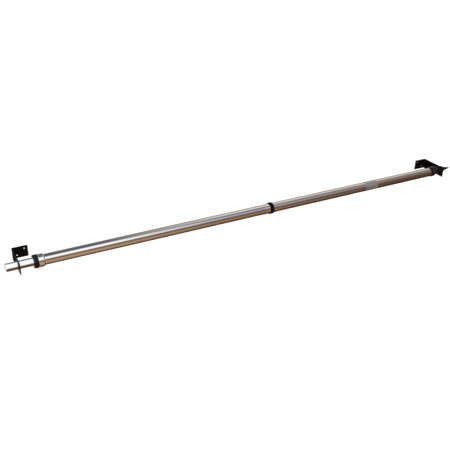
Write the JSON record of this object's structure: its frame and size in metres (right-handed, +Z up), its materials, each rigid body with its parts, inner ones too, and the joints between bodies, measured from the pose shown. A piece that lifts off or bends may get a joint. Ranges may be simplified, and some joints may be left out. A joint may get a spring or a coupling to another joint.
{
  "type": "pull up bar",
  "caption": "Telescoping chromed pull-up bar with a lock nut, carried between two black bent-steel wall brackets that screw to a wall.",
  "frame": {"origin": "on the left bracket's wall face, midway between its two screw holes", "axes": "+X along the bar from the adjustable end to the fixed end, +Y into the wall, +Z up"},
  "size_m": [1.6195, 0.1, 0.0394],
  "materials": {
    "black_paint": "semi-gloss black paint on bent steel strip",
    "bright_chrome": "polished chrome plate",
    "tube_chrome": "polished chrome plate on welded steel tube",
    "nut_plastic": "moulded black nylon, fine spark-eroded texture",
    "black_acetal": "moulded black acetal",
    "natural_nylon": "natural nylon",
    "cap_plastic": "moulded white polyethylene",
    "zinc_steel": "zinc plated turned steel",
    "pin_steel": "spring steel",
    "ring_rubber": "matt black rubber",
    "plug_plastic": "dark moulded plastic",
    "label_film": "plain matt grey adhesive film"
  },
  "bodies": {
    "wall_brackets": {"left_bracket": "black_paint", "right_bracket": "black_paint"},
    "outer_bar": {"left_tube": "tube_chrome", "right_tube": "tube_chrome", "lock_collar": "bright_chrome", "collet": "natural_nylon", "mouth_bush": "black_acetal", "centre_sleeve": "bright_chrome", "centre_ring": "ring_rubber", "threaded_insert": "zinc_steel", "threaded_spigot": "zinc_steel", "joint_pins": "pin_steel", "seal_ring": "ring_rubber", "right_collar": "bright_chrome", "right_stub": "bright_chrome", "stub_spacers": "black_acetal", "stub_pin": "pin_steel", "end_plug": "plug_plastic", "blank_label": "label_film"},
    "inner_bar": {"inner_cap": "cap_plastic", "inner_tube": "bright_chrome", "guide_bush": "black_acetal", "guide_pin": "pin_steel"},
    "slip_washer": {"slip_washer": "zinc_steel"},
    "lock_nut": {"lock_nut": "nut_plastic"}
  },
  "joints": [
    {"name": "bar_spin", "type": "hinge", "parent": "wall_brackets", "child": "outer_bar", "pos_m": [0, -0.074, 0], "axis": [1, 0, 0], "continuous": true},
    {"name": "telescope", "type": "slide", "parent": "outer_bar", "child": "inner_bar", "axis": [-1, 0, 0], "range_m": [-0.07, 0.15]},
    {"name": "nut_travel", "type": "slide", "parent": "outer_bar", "child": "slip_washer", "axis": [-1, 0, 0], "range_m": [0, 0.002]},
    {"name": "nut_turn", "type": "hinge", "parent": "slip_washer", "child": "lock_nut", "pos_m": [0, -0.074, 0], "axis": [-1, 0, 0], "range_deg": [0, 360]}
  ],
  "couplings": [
    {"joint": "nut_travel", "follows": "nut_turn", "m_per_rad": 0.00031831}
  ]
}
